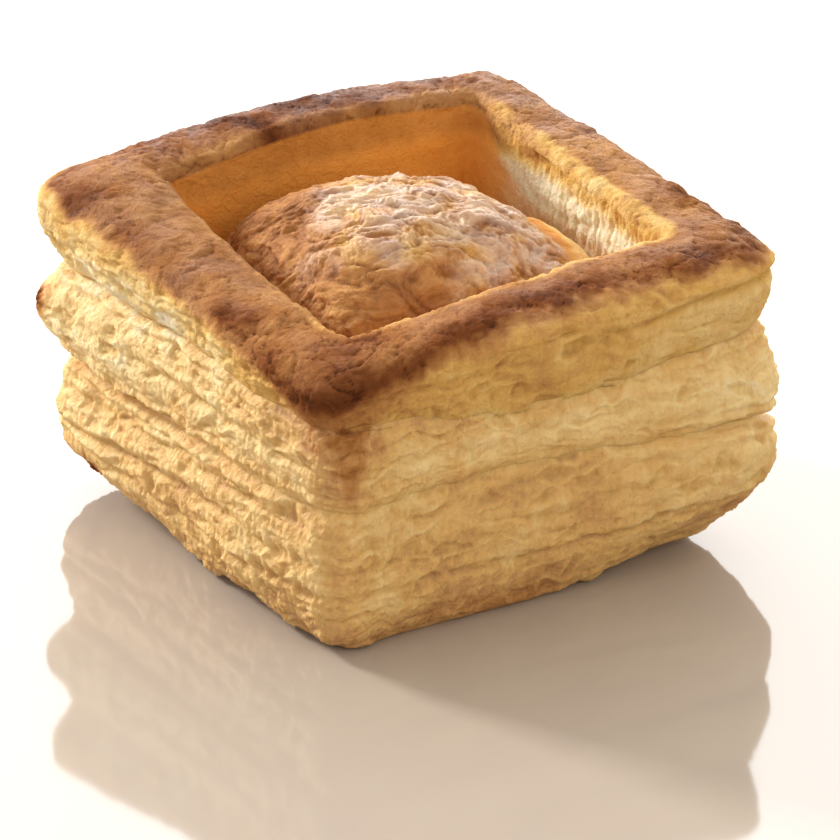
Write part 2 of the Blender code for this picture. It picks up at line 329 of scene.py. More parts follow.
def outer_wall(turn, share=1.0):
    """The square of the outer walls, with its near corner pointed and, by the given share,
    drawn aside. Both fade as exp(-(turn / spread)^2) away from that corner."""
    apart = round_from(turn, 0.0)
    flat = outline(turn, HALF_WIDTH, CORNER_RADIUS)
    flat = pushed(flat, NEAR_CORNER_POINT * bell(apart / NEAR_CORNER_POINT_SPREAD))
    return flat + share * bell(apart / NEAR_CORNER_SPREAD)[:, None] * NEAR_CORNER_SHIFT


def raised(flat, height):
    """Plan points and heights as points in space."""
    return np.concatenate([flat, np.broadcast_to(height, flat.shape[:-1])[..., None]], axis=-1)


def outward(points):
    """Unit normals of a grid of rings, from the cross product of its two directions."""
    along = np.roll(points, -1, axis=1) - np.roll(points, 1, axis=1)
    up = np.gradient(points, axis=0)
    normal = np.cross(along, up)
    return normal / (np.linalg.norm(normal, axis=-1, keepdims=True) + 1e-12)


def smoothed(field, steps):
    """A grid field averaged with its neighbours, steps times over."""
    for _ in range(steps):
        rows = np.pad(field, ((1, 1), (0, 0)), mode="edge")
        beside = np.roll(field, 1, axis=1) + np.roll(field, -1, axis=1)
        field = (rows[:-2] + rows[2:] + beside + 2 * field) / 6
    return field


def hollows(relief, steps, depth):
    """How far each point lies under its surroundings, -1 to 1 at the given depth."""
    return np.clip((smoothed(relief, steps) - relief) / depth, -1, 1)


def closed_piece(name, rings, first, last, layers, material):
    """A closed mesh from a grid of rings and a point at each end, with its attributes."""
    rows, columns = rings.shape[:2]
    points = np.concatenate([[first], rings.reshape(-1, 3), [last]]) + PLAN_SHIFT
    index = 1 + np.arange(rows * columns).reshape(rows, columns)
    following = np.roll(index, -1, axis=1)
    quads = np.stack([index[:-1], following[:-1], following[1:], index[1:]], axis=-1).reshape(-1, 4)
    low_fan = np.stack([np.zeros(columns, int), following[0], index[0]], axis=-1)
    high_fan = np.stack([np.full(columns, len(points) - 1), index[-1], following[-1]], axis=-1)
    corners = np.concatenate([quads.ravel(), low_fan.ravel(), high_fan.ravel()])
    sizes = np.concatenate([np.full(len(quads), 4), np.full(2 * columns, 3)])
    mesh = bpy.data.meshes.new(name)
    mesh.vertices.add(len(points))
    mesh.vertices.foreach_set("co", points.astype(np.float32).ravel())
    mesh.loops.add(len(corners))
    mesh.loops.foreach_set("vertex_index", corners.astype(np.int32))
    mesh.polygons.add(len(sizes))
    mesh.polygons.foreach_set("loop_start", (np.cumsum(sizes) - sizes).astype(np.int32))
    mesh.update(calc_edges=True)
    mesh.validate()
    mesh.shade_smooth()
    for label, field in layers.items():
        values = np.concatenate([[field[0].mean()], field.ravel(), [field[-1].mean()]])
        attribute = mesh.attributes.new(label, "FLOAT", "POINT")
        attribute.data.foreach_set("value", values.astype(np.float32))
    mesh.materials.append(material)
    piece = bpy.data.objects.new(name, mesh)
    bpy.context.scene.collection.objects.link(piece)
    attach(piece, BODY)
    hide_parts(NODE)
    return piece


def fold(turn, low, high, peak, rises):
    """Rings of one puffed fold. The offset runs straight from crease to crease, plus a bulge
    that is a power of sin(pi * q ** g), with g set by the peak's place."""
    low_height, low_offset = low
    high_height, high_offset = high
    peak_offset, peak_place, sharpness = peak
    power = math.log(0.5) / np.log(peak_place)
    swell = peak_offset - (low_offset + (high_offset - low_offset) * peak_place)
    rise = rises[:, None]
    bulge = np.abs(np.sin(math.pi * rise ** power)) ** sharpness
    offset = low_offset + (high_offset - low_offset) * rise + swell * bulge
    height = low_height + (high_height - low_height) * rise
    wall = np.broadcast_to(outer_wall(turn), (*offset.shape, 2))
    return raised(pushed(wall, offset), height)


def crease(turn, height, line, seed, place):
    """A long crease: a narrow groove with a lip above it, along a wandering height line."""
    heights, depths, width = line
    wander = 0.9 * MM * noise(place * [1, 1, 0.2], 9 * MM, seed)
    strength = around(turn, depths) * (0.65 + 0.5 * noise(place * [1, 1, 0.2], 12 * MM, seed + 1))
    away = (height - around(turn, heights) - wander) / width
    groove = np.exp(-np.abs(away) ** 1.5)
    lip = bell((away - 1.7) / 1.1)
    return np.maximum(strength, 0) * (0.6 * lip - groove)


def plies(place, spacing, seed):
    """Stacked plies. Each stands out or back on its own noise, blends into the next over its
    top fifth, has a groove under it and a lip on it, and is strung with upright strands."""
    sway = 1.5 * MM * fractal(place, (15 * MM, 15 * MM, 8 * MM), 3, seed)
    phase = (place[..., 2] + sway) / spacing
    count = np.floor(phase)
    part = phase - count
    here = np.concatenate([place[..., :2], count[..., None] * 17 * MM], axis=-1)
    above = here + [0, 0, 17 * MM]
    share = ease(0.80, 1.0, part)
    stand = noise(here, 6 * MM, seed + 3) * (1 - share) + noise(above, 6 * MM, seed + 3) * share
    groove = bell(np.minimum(part, 1 - part) / 0.10)
    lip = bell((part - 0.72) / 0.12)
    cut = 0.35 + 0.65 * ease(-0.35, 0.35, noise(here, 9 * MM, seed + 4))
    size = np.array([1.25 * MM, 1.25 * MM, 5 * MM])
    strands = (ridges(here, size, 3, seed + 5) - 0.6) * np.sin(math.pi * part) ** 0.5
    return stand, cut * (0.35 * lip - groove), strands


def bubbles(place, size, share, seed):
    """Open bubbles at some of the random cells: hollow inside, with raised walls round."""
    nearest, second, tag = cells(place, size, seed)
    open_part = (tag < share) * ease(0.04, 0.45, second - nearest)
    wall = (tag < share) * ease(0.16, 0.0, second - nearest)
    return 0.5 * wall - open_part


def side_relief(turn, place, lines, seed):
    """How far the flaky side stands out: plies, strands, crumples, bubbles and creases."""
    height = place[..., 2]
    crinkle = around(turn, CRINKLE)
    fibre = around(turn, FIBRE)
    warped = place + 1.3 * MM * np.stack([noise(place, 4.5 * MM, seed + k) for k in range(3)], axis=-1)
    patch = ease(-0.25, 0.45, noise(place, 12 * MM, seed + 3))
    relief = 0.5 * MM * fractal(place, 11 * MM, 3, seed + 4)
    stand, edges, strands = plies(warped, 3.3 * MM, seed + 5)
    relief += (0.20 + 0.25 * crinkle) * MM * stand + (0.14 + 0.24 * crinkle) * MM * edges
    relief += (0.12 + 0.60 * fibre * crinkle) * MM * strands
    stand, edges, strands = plies(warped, 1.35 * MM, seed + 9)
    relief += crinkle * MM * (0.22 * stand + 0.16 * edges)
    crumple = ridges(warped, (2.6 * MM, 2.6 * MM, 1.5 * MM), 4, seed + 12) - 0.6
    relief += 0.70 * MM * crinkle * (0.25 + 0.75 * patch) * crumple
    fine = ridges(place + 0.5 * (warped - place), (1.15 * MM, 1.15 * MM, 0.8 * MM), 2, seed + 15) - 0.6
    relief += (0.06 + 0.26 * crinkle) * MM * fine
    relief += 0.42 * MM * bubbles(warped, (5.5 * MM, 5.5 * MM, 2.8 * MM), 0.42, seed + 16)
    relief += 0.08 * MM * fractal(place, 0.9 * MM, 2, seed + 18)
    for number, line in enumerate(lines):
        relief += crease(turn, height, line, seed + 20 + 2 * number, place)
    return relief


def crust_relief(place, scorch, seed):
    """Baked crust: low swells, puffs parted by thin creases, blister patches, cracks and a
    grain."""
    warp = np.stack([noise(place, 4 * MM, seed + k) for k in range(3)], axis=-1)
    warped = place + 1.6 * MM * warp
    relief = 0.50 * MM * fractal(place, 8 * MM, 2, seed + 3)
    crease_lines = ridges(warped, 4.8 * MM, 3, seed + 6, 0.5, 6)
    creased = 0.5 + 0.5 * ease(-0.2, 0.4, noise(place, 11 * MM, seed + 10))
    relief -= 0.60 * MM * creased * (crease_lines - 0.3)
    relief += 0.28 * MM * (ridges(warped, (1.5 * MM, 1.5 * MM, 1.0 * MM), 3, seed + 9) - 0.6)
    patch = np.clip(ease(0.15, 0.5, noise(place, 7 * MM, seed + 11)) + 3 * scorch, 0, 1.4)
    nearest, _, _ = cells(warped, 1.4 * MM, seed + 12)
    relief += 0.40 * MM * patch * (0.6 - nearest)
    nearest, second, tag = cells(warped, 7.5 * MM, seed + 13)
    crack = ease(0.04, 0.0, second - nearest) * (tag < 0.3)
    relief -= 0.25 * MM * crack
    crack = np.maximum(crack, creased * ease(0.55, 0.9, crease_lines))
    relief += 0.08 * MM * fractal(place, 0.7 * MM, 2, seed + 14)
    return relief, patch, crack


def base_edge(turn):
    """Lift and offset of the underside's edge, with one small lifted spot."""
    where, spread, height = LIFTED_SPOT
    spot = height * bell(round_from(turn, where) / spread)
    return np.maximum(around(turn, BASE_LIFT), 0.0) + spot, around(turn, BASE_OFFSET)


def crease_height(turn, values):
    """Height round the pastry of the crease between two folds, which wanders a little."""
    place = raised(outer_wall(turn), values[0])
    wander = 0.8 * MM * noise(place, 9 * MM, 60) + 0.4 * MM * noise(place, 3.5 * MM, 61)
    return around(turn, values) + wander


def hidden_ring(turn, height):
    """A ring well inside the pastry, where a fold tucks under its neighbour."""
    wall = outer_wall(turn)
    return raised(pushed(wall, np.full(turn.shape, HIDDEN_INSET)), height)[None]


def side_browning(turn, place):
    """Browning of a flaky side: paler and browner patches, bands by height, brown tips and one paler place
    that is painted light.
    """
    height = place[..., 2]
    uneven = 0.5 + 0.5 * around(turn, CRINKLE)
    tone = around(turn, SIDE_BROWNING) + 0.13 * uneven * fractal(place, 9 * MM, 4, 40)
    tone = tone + 0.07 * uneven * noise(place, (2.5 * MM, 2.5 * MM, 1.6 * MM), 44)
    tone = tone + 0.035 * fractal(place, (0.9 * MM, 0.9 * MM, 5 * MM), 2, 45)
    tone = tone + 0.11 * ease(8 * MM, 1.5 * MM, height)
    tone = tone - 0.10 * bell((height - 28.5 * MM) / (3.2 * MM))
    ragged = fractal(place, 4 * MM, 3, 47)
    for where, spread, level, reach, strength in TIPS:
        spot = bell(round_from(turn, where) / spread) * bell((height - level * MM) / (reach * MM))
        tone = tone + strength * spot * (1 + 0.8 * ragged)
    return tone


def framed(before, field, after, low=0.0, high=0.0):
    """A field with plain rows added before and after it, for rings that stay hidden."""
    columns = field.shape[1]
    return np.concatenate([np.full((before, columns), low), field, np.full((after, columns), high)])


def side_fields(turn, place, relief, before, after):
    """The attributes of a fold's rings, with hidden rings added before and after them."""
    browning = np.clip(side_browning(turn, place), 0, 1)
    # hollow darkens the colour: painted shade in the hollows
    hollow = hollows(relief, 40, 0.7 * MM)
    # glaze sets the gloss and also mixes in a painted pale highlight
    gloss_and_highlight = 0.15 * ease(0.62, 0.40, browning)
    soft = np.broadcast_to(around(turn, SOFTNESS), (before + len(browning) + after, len(turn)))
    return {
        "browning": framed(before, browning, after, 0.5, 0.3),
        "hollow": framed(before, hollow, after),
        "soft": soft,
        "gloss_and_highlight": framed(before, gloss_and_highlight, after),
    }


def pinch(turn, height, low, high):
    """Draws the surface in at a fold's creases, with a thin bead beside each of them."""
    from_low = (height - low) / MM
    from_high = (high - height) / MM
    depth = 0.0
    for gap in (from_low, from_high):
        depth = depth + 0.9 * bell(gap / 0.8) - 0.35 * bell((gap - 1.7) / 0.5)
        depth = depth + 0.30 * bell((gap - 2.7) / 0.5)
    return -depth * MM * around(turn, PINCH)


def lower_layers(material):
    """The lower fold with the underside: rings out from the middle, then up the wall."""
    turn = turns(SIDE_COLUMNS)
    lift, offset = base_edge(turn)
    edge = pushed(outer_wall(turn), offset)
    fractions = np.array([0.2, 0.4, 0.56, UNDERSIDE_FLAT, 0.8, 0.86, 0.91, 0.95, 0.98])
    rise = (np.maximum(0.0, fractions - UNDERSIDE_FLAT) / (1 - UNDERSIDE_FLAT)) ** 2
    under = raised(edge * fractions[:, None, None], lift * rise[:, None])
    rises = np.linspace(0, 1, 74) ** 1.15
    low = (lift, offset)
    high = (crease_height(turn, LOWER_CREASE_HEIGHT) + TUCK_OVER, around(turn, LOWER_CREASE_OFFSET))
    peak = [around(turn, values) for values in (LOWER_PEAK_OFFSET, LOWER_PEAK_PLACE, LOWER_SHARPNESS)]
    wall = fold(turn, low, high, peak, rises)
    relief = side_relief(turn, wall, LOWER_LINES, 0)
    hold = ease(0.0, 1.2 * MM, wall[..., 2]) * ease(0.0, 1.5 * MM, high[0] - wall[..., 2])
    draw = pinch(turn, wall[..., 2], -20 * MM, high[0] - TUCK_OVER)
    wall = wall + outward(wall) * (relief * hold + draw)[..., None]
    wall[..., 2] = np.maximum(wall[..., 2], 0.0)
    inner = hidden_ring(turn, high[0] - TUCK_OVER)
    rings = np.concatenate([under, wall, inner])
    fields = side_fields(turn, wall, relief, len(under), 1)
    top = np.array([0.0, 0.0, 20.0 * MM])
    return closed_piece("lower_layers", rings, np.zeros(3), top, fields, material)


def upper_layers(material):
    """The upper fold, tucked in at both of its creases."""
    turn = turns(SIDE_COLUMNS)
    rises = np.linspace(0, 1, 58)
    low = (crease_height(turn, LOWER_CREASE_HEIGHT) - TUCK_UNDER, around(turn, LOWER_CREASE_OFFSET))
    high = (crease_height(turn, UPPER_CREASE_HEIGHT) + TUCK_OVER, around(turn, UPPER_CREASE_OFFSET))
    peak = [around(turn, values) for values in (UPPER_PEAK_OFFSET, UPPER_PEAK_PLACE, UPPER_SHARPNESS)]
    wall = fold(turn, low, high, peak, rises)
    relief = side_relief(turn, wall, (UPPER_LINE,), 28)
    hold = ease(0.0, 1.5 * MM, wall[..., 2] - low[0]) * ease(0.0, 1.5 * MM, high[0] - wall[..., 2])
    draw = pinch(turn, wall[..., 2], low[0] + TUCK_UNDER, high[0] - TUCK_OVER)
    wall = wall + outward(wall) * (relief * hold + draw)[..., None]
    bottom = hidden_ring(turn, low[0] + TUCK_OVER)
    top = hidden_ring(turn, high[0] - TUCK_OVER)
    rings = np.concatenate([bottom, wall, top])
    fields = side_fields(turn, wall, relief, 1, 1)
    ends = (np.array([0, 0, 25.0 * MM]), np.array([0, 0, 33.0 * MM]))
    return closed_piece("upper_layers", rings, *ends, fields, material)


def rim_surface(turn):
    """Rings of the rim from its crease out, over the top and down the inner wall to the
    trench. Each ring has a part number, 0 outer wall, 1 top, 2 inner edge, 3 inner wall or
    4 trench, and how far across the top it lies, 0 at the widest and 1 at the crest."""
    low_wall = outer_wall(turn)
    wall = outer_wall(turn, RIM_SHIFT_SHARE)
    low_height = crease_height(turn, UPPER_CREASE_HEIGHT) - TUCK_UNDER
    low_offset = around(turn, UPPER_CREASE_OFFSET)
    widest_height = around(turn, RIM_WIDEST_HEIGHT)
    widest_offset = around(turn, RIM_WIDEST_OFFSET)
    crest_height = around(turn, RIM_CREST_HEIGHT)
    crest_half = OPENING_HALF + RIM_EDGE_RADIUS
    crest = outline(turn, crest_half, OPENING_CORNER + RIM_EDGE_RADIUS, OPENING_CENTRE)
    rings = []
    parts = []
    across = []
    for rise in np.linspace(0, 1, 30):
        swell = math.sin(math.pi / 2 * rise) ** 0.75
        offset = low_offset + (widest_offset - low_offset) * swell
        flat = pushed(low_wall + (wall - low_wall) * swell, offset)
        rings.append(raised(flat, low_height + (widest_height - low_height) * rise))
        parts.append(0)
        across.append(0.0)
    outer = pushed(wall, widest_offset)
    for bend in np.linspace(0, math.pi / 2, 45)[1:]:
        flat = crest + (outer - crest) * math.cos(bend)
        rings.append(raised(flat, widest_height + (crest_height - widest_height) * math.sin(bend)))
        parts.append(1)
        across.append(bend / (math.pi / 2))
    for bend in np.linspace(0, math.pi / 2, 9)[1:]:
        inwards = RIM_EDGE_RADIUS * math.sin(bend)
        corner = OPENING_CORNER + RIM_EDGE_RADIUS - inwards
        flat = outline(turn, crest_half - inwards, corner, OPENING_CENTRE)
        rings.append(raised(flat, crest_height - RIM_EDGE_RADIUS * (1 - math.cos(bend))))
        parts.append(2)
        across.append(1.0)
    edge_height = crest_height - RIM_EDGE_RADIUS
    for fall in np.linspace(0, 1, 40)[1:]:
        flat = outline(turn, OPENING_HALF - INNER_WALL_TAPER * fall, OPENING_CORNER, OPENING_CENTRE)
        rings.append(raised(flat, edge_height + (MIDDLE_FOOT_HEIGHT - edge_height) * fall))
        parts.append(3)
        across.append(1.0)
    last_wall = rings[-1]
    trench = pushed(outline(turn, TRENCH_HALF, TRENCH_CORNER), around(turn, TRENCH_OFFSET))
    floor_edge = raised(trench + OPENING_CENTRE, TRENCH_HEIGHT)
    for fall in (0.5, 1.0):
        rings.append(last_wall + (floor_edge - last_wall) * fall)
        parts.append(4)
        across.append(1.0)
    return np.array(rings), np.array(parts), np.array(across)


def crust_cover(turn, rings, parts, ragged):
    """How much each place is browned crust, 0 to 1, how high it lies over the crust's lower
    border and how deep under the inner edge. Both borders are eased over a ragged line."""
    height = rings[..., 2]
    inset = np.linalg.norm(outer_wall(turn), axis=-1) - np.linalg.norm(rings[..., :2], axis=-1)
    above_border = height + BORDER_SLOPE * (inset + 1.0 * MM) - around(turn, CRUST_BORDER) - ragged
    outer_crust = np.where((parts <= 1)[:, None], ease(-1.8 * MM, 1.6 * MM, above_border), 1.0)
    below_edge = around(turn, RIM_CREST_HEIGHT) - RIM_EDGE_RADIUS - height
    depth = around(turn, CRUST_DEPTH)
    inner_crust = ease(depth + 2.5 * MM, depth - 1 * MM, below_edge + 0.5 * ragged)
    return np.where((parts >= 3)[:, None], inner_crust, outer_crust), above_border, below_edge


def scorching(turn, parts, across):
    """How scorched each place of the rim's top is: a bell round each scorched blister."""
    scorch = 0.0
    for where, spread, place_across, reach, strength in SCORCHES:
        spot = bell(round_from(turn, where) / spread) * bell((across - place_across) / reach)
        scorch = scorch + strength * spot
    return scorch * (parts <= 2)[:, None]


def rim_relief(turn, rings, parts, crust, scorch):
    """How far the rim stands out: flaky side, baked crust, and upright strands on the inner
    wall, with the crust's blister patches and its cracks."""
    side = side_relief(turn, rings, (RIM_LINE,), 8)
    baked, patch, crack = crust_relief(rings, scorch, 20)
    swells = 0.5 * MM * fractal(rings, 12 * MM, 2, 48)
    upright = 0.5 * MM * (ridges(rings, (1.3 * MM, 1.3 * MM, 6 * MM), 3, 53) - 0.6)
    rough_wall = around(turn, INNER_ROUGHNESS)
    inner_relief = swells + rough_wall * (0.45 * side + upright) + 0.4 * baked * crust
    outer_relief = side * (1 - crust) + baked * crust
    return np.where((parts >= 3)[:, None], inner_relief, outer_relief), patch, crack


def crust_browning(turn, rings, outside, across, shoulder, marks):
    """Browning of the crust: darker at its lower shoulder and its scorches, and in its cracks and creases as
    painted shade, another tone at the inner edge, and a smear at the near corner."""
    scorch, patch, crack = marks
    top_browning = around(turn, TOP_BROWNING)
    tone = top_browning + 0.19 * shoulder * outside + 0.8 * scorch
    # Darker in the cracks and creases: painted shade
    tone = tone + 0.09 * fractal(rings, 9 * MM, 4, 54) + 0.05 * patch + 0.10 * crack
    tone = tone + 0.045 * noise(rings, 1.2 * MM, 57)
    where, spread, strength = CORNER_SMEAR
    smear = np.maximum(0, 1 - np.abs(round_from(turn, where)) / spread)
    tone = tone + strength * smear * outside
    edge = ease(0.93, 1.04, across + 0.03 * fractal(rings, 4 * MM, 3, 59))
    edge = edge * (1 - 0.8 * np.clip(4 * scorch, 0, 1))
    return tone + edge * (around(turn, EDGE_BROWNING) - top_browning)


def rim(material):
    """The rim: a browned crust on top, a flaky side under it and a pale wall inside."""
    turn = turns(RIM_COLUMNS)
    rings, parts, across = rim_surface(turn)
    across = across[:, None]
    outside = (parts <= 1)[:, None]
    inner = (parts >= 3)[:, None]
    height = rings[..., 2]
    streak = noise(rings * [1, 1, 0.2], 1.5 * MM, 52)
    ragged = 1.1 * MM * fractal(rings * [1, 1, 0.4], 6 * MM, 4, 50) + 0.6 * MM * streak
    crust, above_border, below_edge = crust_cover(turn, rings, parts, ragged)
    scorch = scorching(turn, parts, across)
    relief, patch, crack = rim_relief(turn, rings, parts, crust, scorch)
    hold = np.where((parts == 0)[:, None], ease(0.0, 1.0 * MM, height - height[0]), 1.0)
    hold = np.where((parts == 4)[:, None], 0.3, hold)
    # Painted shade in the hollows, weaker on the inner wall
    hollow = hollows(relief, 30, 0.6 * MM) * np.where(inner, 0.4, 1.0)
    tube = 0.8 * MM * np.sin(math.pi * across) * (parts == 1)[:, None]
    rings = rings + outward(rings) * (relief * hold + tube)[..., None]
    shoulder = bell((above_border - 2.0 * MM) / (2.3 * MM)) * around(turn, SHOULDER_BROWNING)
    tone = crust_browning(turn, rings, outside, across, shoulder, (scorch, patch, crack))
    below_border = ease(-5 * MM, -1 * MM, above_border)
    pale = side_browning(turn, rings) + 0.05 * around(turn, SHOULDER_BROWNING) * below_border
    inner_pale = around(turn, INNER_BROWNING) + 0.06 * fractal(rings, 8 * MM, 2, 58)
    browning = np.clip(np.where(inner, inner_pale, pale) * (1 - crust) + tone * crust, 0, 1)
    # Painted light: the orange glow of light let through the shaded inner walls, below a painted shadow's
    # edge, weaker under the crust
    glow_part = ease(-1.4 * MM, 1.4 * MM, below_edge - around(turn, PAINTED_GLOW_LINE) + 0.6 * ragged)
    amber_and_painted_light = inner * np.clip(around(turn, PAINTED_GLOW), 0, 1) * glow_part * (1 - 0.45 * crust)
    patchy = np.clip(0.8 + 0.9 * noise(rings, 5 * MM, 55), 0.1, 2)
    # Gloss, which also mixes in a painted pale highlight; patchy, and kept off the shoulder and the scorches
    gloss_and_highlight = np.maximum(around(turn, TOP_GLOSS_AND_HIGHLIGHT), 0) * patchy * (parts <= 2)[:, None]
    gloss_and_highlight = gloss_and_highlight * (1 - 0.85 * np.clip(shoulder + 3 * scorch, 0, 1))
    bottom = hidden_ring(turn, height[0] + TUCK_OVER)
    fields = {
        "browning": framed(1, browning, 0, 0.3),
        "hollow": framed(1, hollow, 0),
        "amber_and_painted_light": framed(1, amber_and_painted_light, 0),
        "gloss_and_highlight": framed(1, gloss_and_highlight, 0),
        "soft": framed(1, around(turn, SOFTNESS) * (1 - 0.5 * crust), 0, 0.3),
    }
    ends = (np.array([0, 0, 30.0 * MM]), np.array([0, 0, 31.0 * MM]))
    return closed_piece("rim", np.concatenate([bottom, rings]), *ends, fields, material)


def middle_surface(turn, bends):
    """Rings of the risen middle, and how much each place is the smooth low shoulder. A ring
    drawn in to the fraction q of the foot stands at (1 - q^flatness)^roundness of the
    mound's rise, or of the shoulder's rise where that is higher."""
    foot = pushed(outline(turn, MIDDLE_HALF, MIDDLE_CORNER), around(turn, MIDDLE_FOOT_OFFSET))
    reach = np.cos(bends * math.pi / 2)[:, None]
    flat = foot * reach[..., None]
    swell = (1 - reach ** MIDDLE_FLATNESS) ** around(turn, MIDDLE_ROUNDNESS)
    mound = (MIDDLE_TOP - MIDDLE_FOOT_HEIGHT + flat @ MIDDLE_LEAN) * swell
    ragged = 1 + 0.05 * fractal(raised(foot, 0.0), 7 * MM, 2, 47)
    rise = np.maximum(around(turn, SHOULDER_RISE), 0.0) * ragged
    shoulder = rise * (1 - reach ** SHOULDER_FLATNESS) ** SHOULDER_ROUNDNESS
    rings = raised(flat + MIDDLE_CENTRE, MIDDLE_FOOT_HEIGHT + np.maximum(mound, shoulder))
    return rings, ease(-0.5 * MM, 1.0 * MM, shoulder - mound)


def risen_middle(material):
    """The risen middle: a rounded square dome with wrinkles that bunch across it, dark at its left as
    painted shade, flaky and bright towards its right and top, where the brightness is painted light with a
    painted pale highlight. Its creases also get painted shade."""
    turn = turns(MIDDLE_COLUMNS)
    bends = np.linspace(0, 1, 175, endpoint=False) ** 1.15
    rings, smooth_part = middle_surface(turn, bends)
    height = rings[..., 2]
    right, depth = across_view(rings - [*MIDDLE_CENTRE, 0])
    drift = 5 * MM * noise(rings, 9 * MM, 51)
    # Painted shade on the left part and painted light on the upper right part; the bright part also gets
    # flakier skin
    shaded = ease(-6 * MM, -22 * MM, right + drift)
    bright = ease(-17 * MM, -7 * MM, right + drift) * ease(-21 * MM, -9 * MM, depth - drift)
    relief, wrinkle = middle_relief(rings, bright)
    relief = relief * (1 - 0.75 * smooth_part)
    # Painted shade in the hollows
    hollow = hollows(relief, 26, 0.5 * MM)
    rings = rings + outward(rings) * (relief * ease(0.0, 0.06, bends)[:, None])[..., None]
    reach = np.cos(bends * math.pi / 2)[:, None]
    torn = smooth_part * ease(0.83, 0.88, reach + 0.03 * noise(rings, 2 * MM, 49))
    # Darker in the wrinkles' creases and on the left part, as painted shade, and lighter on the bright part,
    # as painted light
    tone = 0.60 + 0.16 * fractal(rings, 7 * MM, 3, 56) + 0.20 * ease(0.35, 0.8, wrinkle)
    tone = tone + 0.07 * shaded - 0.13 * bright
    tone = tone * (1 - smooth_part) + 0.53 * smooth_part
    tone = tone + 0.12 * ease(42 * MM, 36 * MM, height)
    tone = tone * (1 - torn) + 0.20 * torn
    # Painted highlight: the bright part's raised places get more gloss and a pale pink mixed into the colour
    shiny = bright * (0.62 + 1.2 * noise(rings, 5 * MM, 55) - 0.8 * hollow)
    fields = {
        "browning": np.clip(tone, 0, 1),
        "hollow": hollow,
        # Orange tint: a little more outside the bright part, as painted shade, much more on the smooth
        # shoulder, less on the torn edge
        "amber_and_painted_light": (0.03 + 0.10 * (1 - bright) + 0.54 * smooth_part) * (1 - 0.6 * torn),
        "soft": 0.12 + 0.3 * smooth_part,
        "gloss_and_highlight": 0.05 + 0.75 * np.clip(shiny, 0, 1) * (1 - smooth_part),
    }
    top = np.array([*MIDDLE_CENTRE, MIDDLE_TOP]) + [0, 0, relief[-1].mean()]
    bottom = np.array([*MIDDLE_CENTRE, MIDDLE_FOOT_HEIGHT - 1.0 * MM])
    return closed_piece("risen_middle", rings, bottom, top, fields, material)


def across_view(place):
    """Distances to the right and away from the camera, along the level."""
    right = place[..., 0] * math.cos(CAMERA_AZIMUTH) + place[..., 1] * math.sin(CAMERA_AZIMUTH)
    away = place[..., 1] * math.cos(CAMERA_AZIMUTH) - place[..., 0] * math.sin(CAMERA_AZIMUTH)
    return right, away


def middle_relief(place, flaky):
    """Skin of the middle: plates parted by thin creases drawn out across the view, over low
    swells, with finer folds and a grain. The flaky part has stronger plates and folds."""
    warp = np.stack([noise(place, 6 * MM, 30 + k) for k in range(3)], axis=-1)
    right, away = across_view(place + 2.6 * MM * warp)
    turned = np.stack([right, away, place[..., 2]], axis=-1)
    wrinkle = ridges(turned, (6.0 * MM, 3.4 * MM, 4.0 * MM), 4, 34, 0.6, 4)
    creased = 0.25 + 0.75 * ease(-0.1, 0.4, noise(place, 11 * MM, 37))
    relief = 0.70 * MM * fractal(place, 10 * MM, 2, 38) - 0.55 * MM * creased * (wrinkle - 0.3)
    relief += (0.42 + 0.16 * flaky) * MM * fractal(turned, (4.4 * MM, 2.6 * MM, 3.2 * MM), 4, 46, 0.62)
    nearest, second, tag = cells(turned, (4.0 * MM, 2.2 * MM, 3.2 * MM), 42)
    relief += (0.15 + 0.32 * flaky) * MM * (tag - 0.5) * ease(0.0, 0.20, second - nearest)
    relief += 0.10 * MM * fractal(place, 0.9 * MM, 2, 44)
    return relief, wrinkle


def wire(tree, kind, inputs=None, **settings):
    """Add a node, set its properties, and set or link its inputs."""
    node = tree.nodes.new(kind)
    for key, value in settings.items():
        setattr(node, key, value)
    for key, value in (inputs or {}).items():
        if isinstance(value, bpy.types.NodeSocket):
            tree.links.new(value, node.inputs[key])
        else:
            node.inputs[key].default_value = value
    return node


def ramp(tree, factor, stops):
    """A colour ramp through the given places and colours, its two ends first."""
    node = wire(tree, "ShaderNodeValToRGB", {"Fac": factor})
    elements = node.color_ramp.elements
    for number, (place, colour) in enumerate(stops):
        element = elements[number] if number < 2 else elements.new(place)
        element.position = place
        element.color = (*colour, 1.0)
    return node.outputs["Color"]


def calc(tree, operation, first, second=0.0, third=0.0):
    """A Math node's result."""
    node = wire(tree, "ShaderNodeMath", {0: first, 1: second, 2: third}, operation=operation)
    return node.outputs[0]


def new_group(name, inputs, outputs):
    """An empty shader node group with its sockets, and its input and output nodes."""
    group = bpy.data.node_groups.new(name, "ShaderNodeTree")
    for label, kind, value in inputs:
        socket = group.interface.new_socket(label, in_out="INPUT", socket_type=kind)
        socket.default_value = value
    for label, kind in outputs:
        group.interface.new_socket(label, in_out="OUTPUT", socket_type=kind)
    return group, group.nodes.new("NodeGroupInput"), group.nodes.new("NodeGroupOutput")


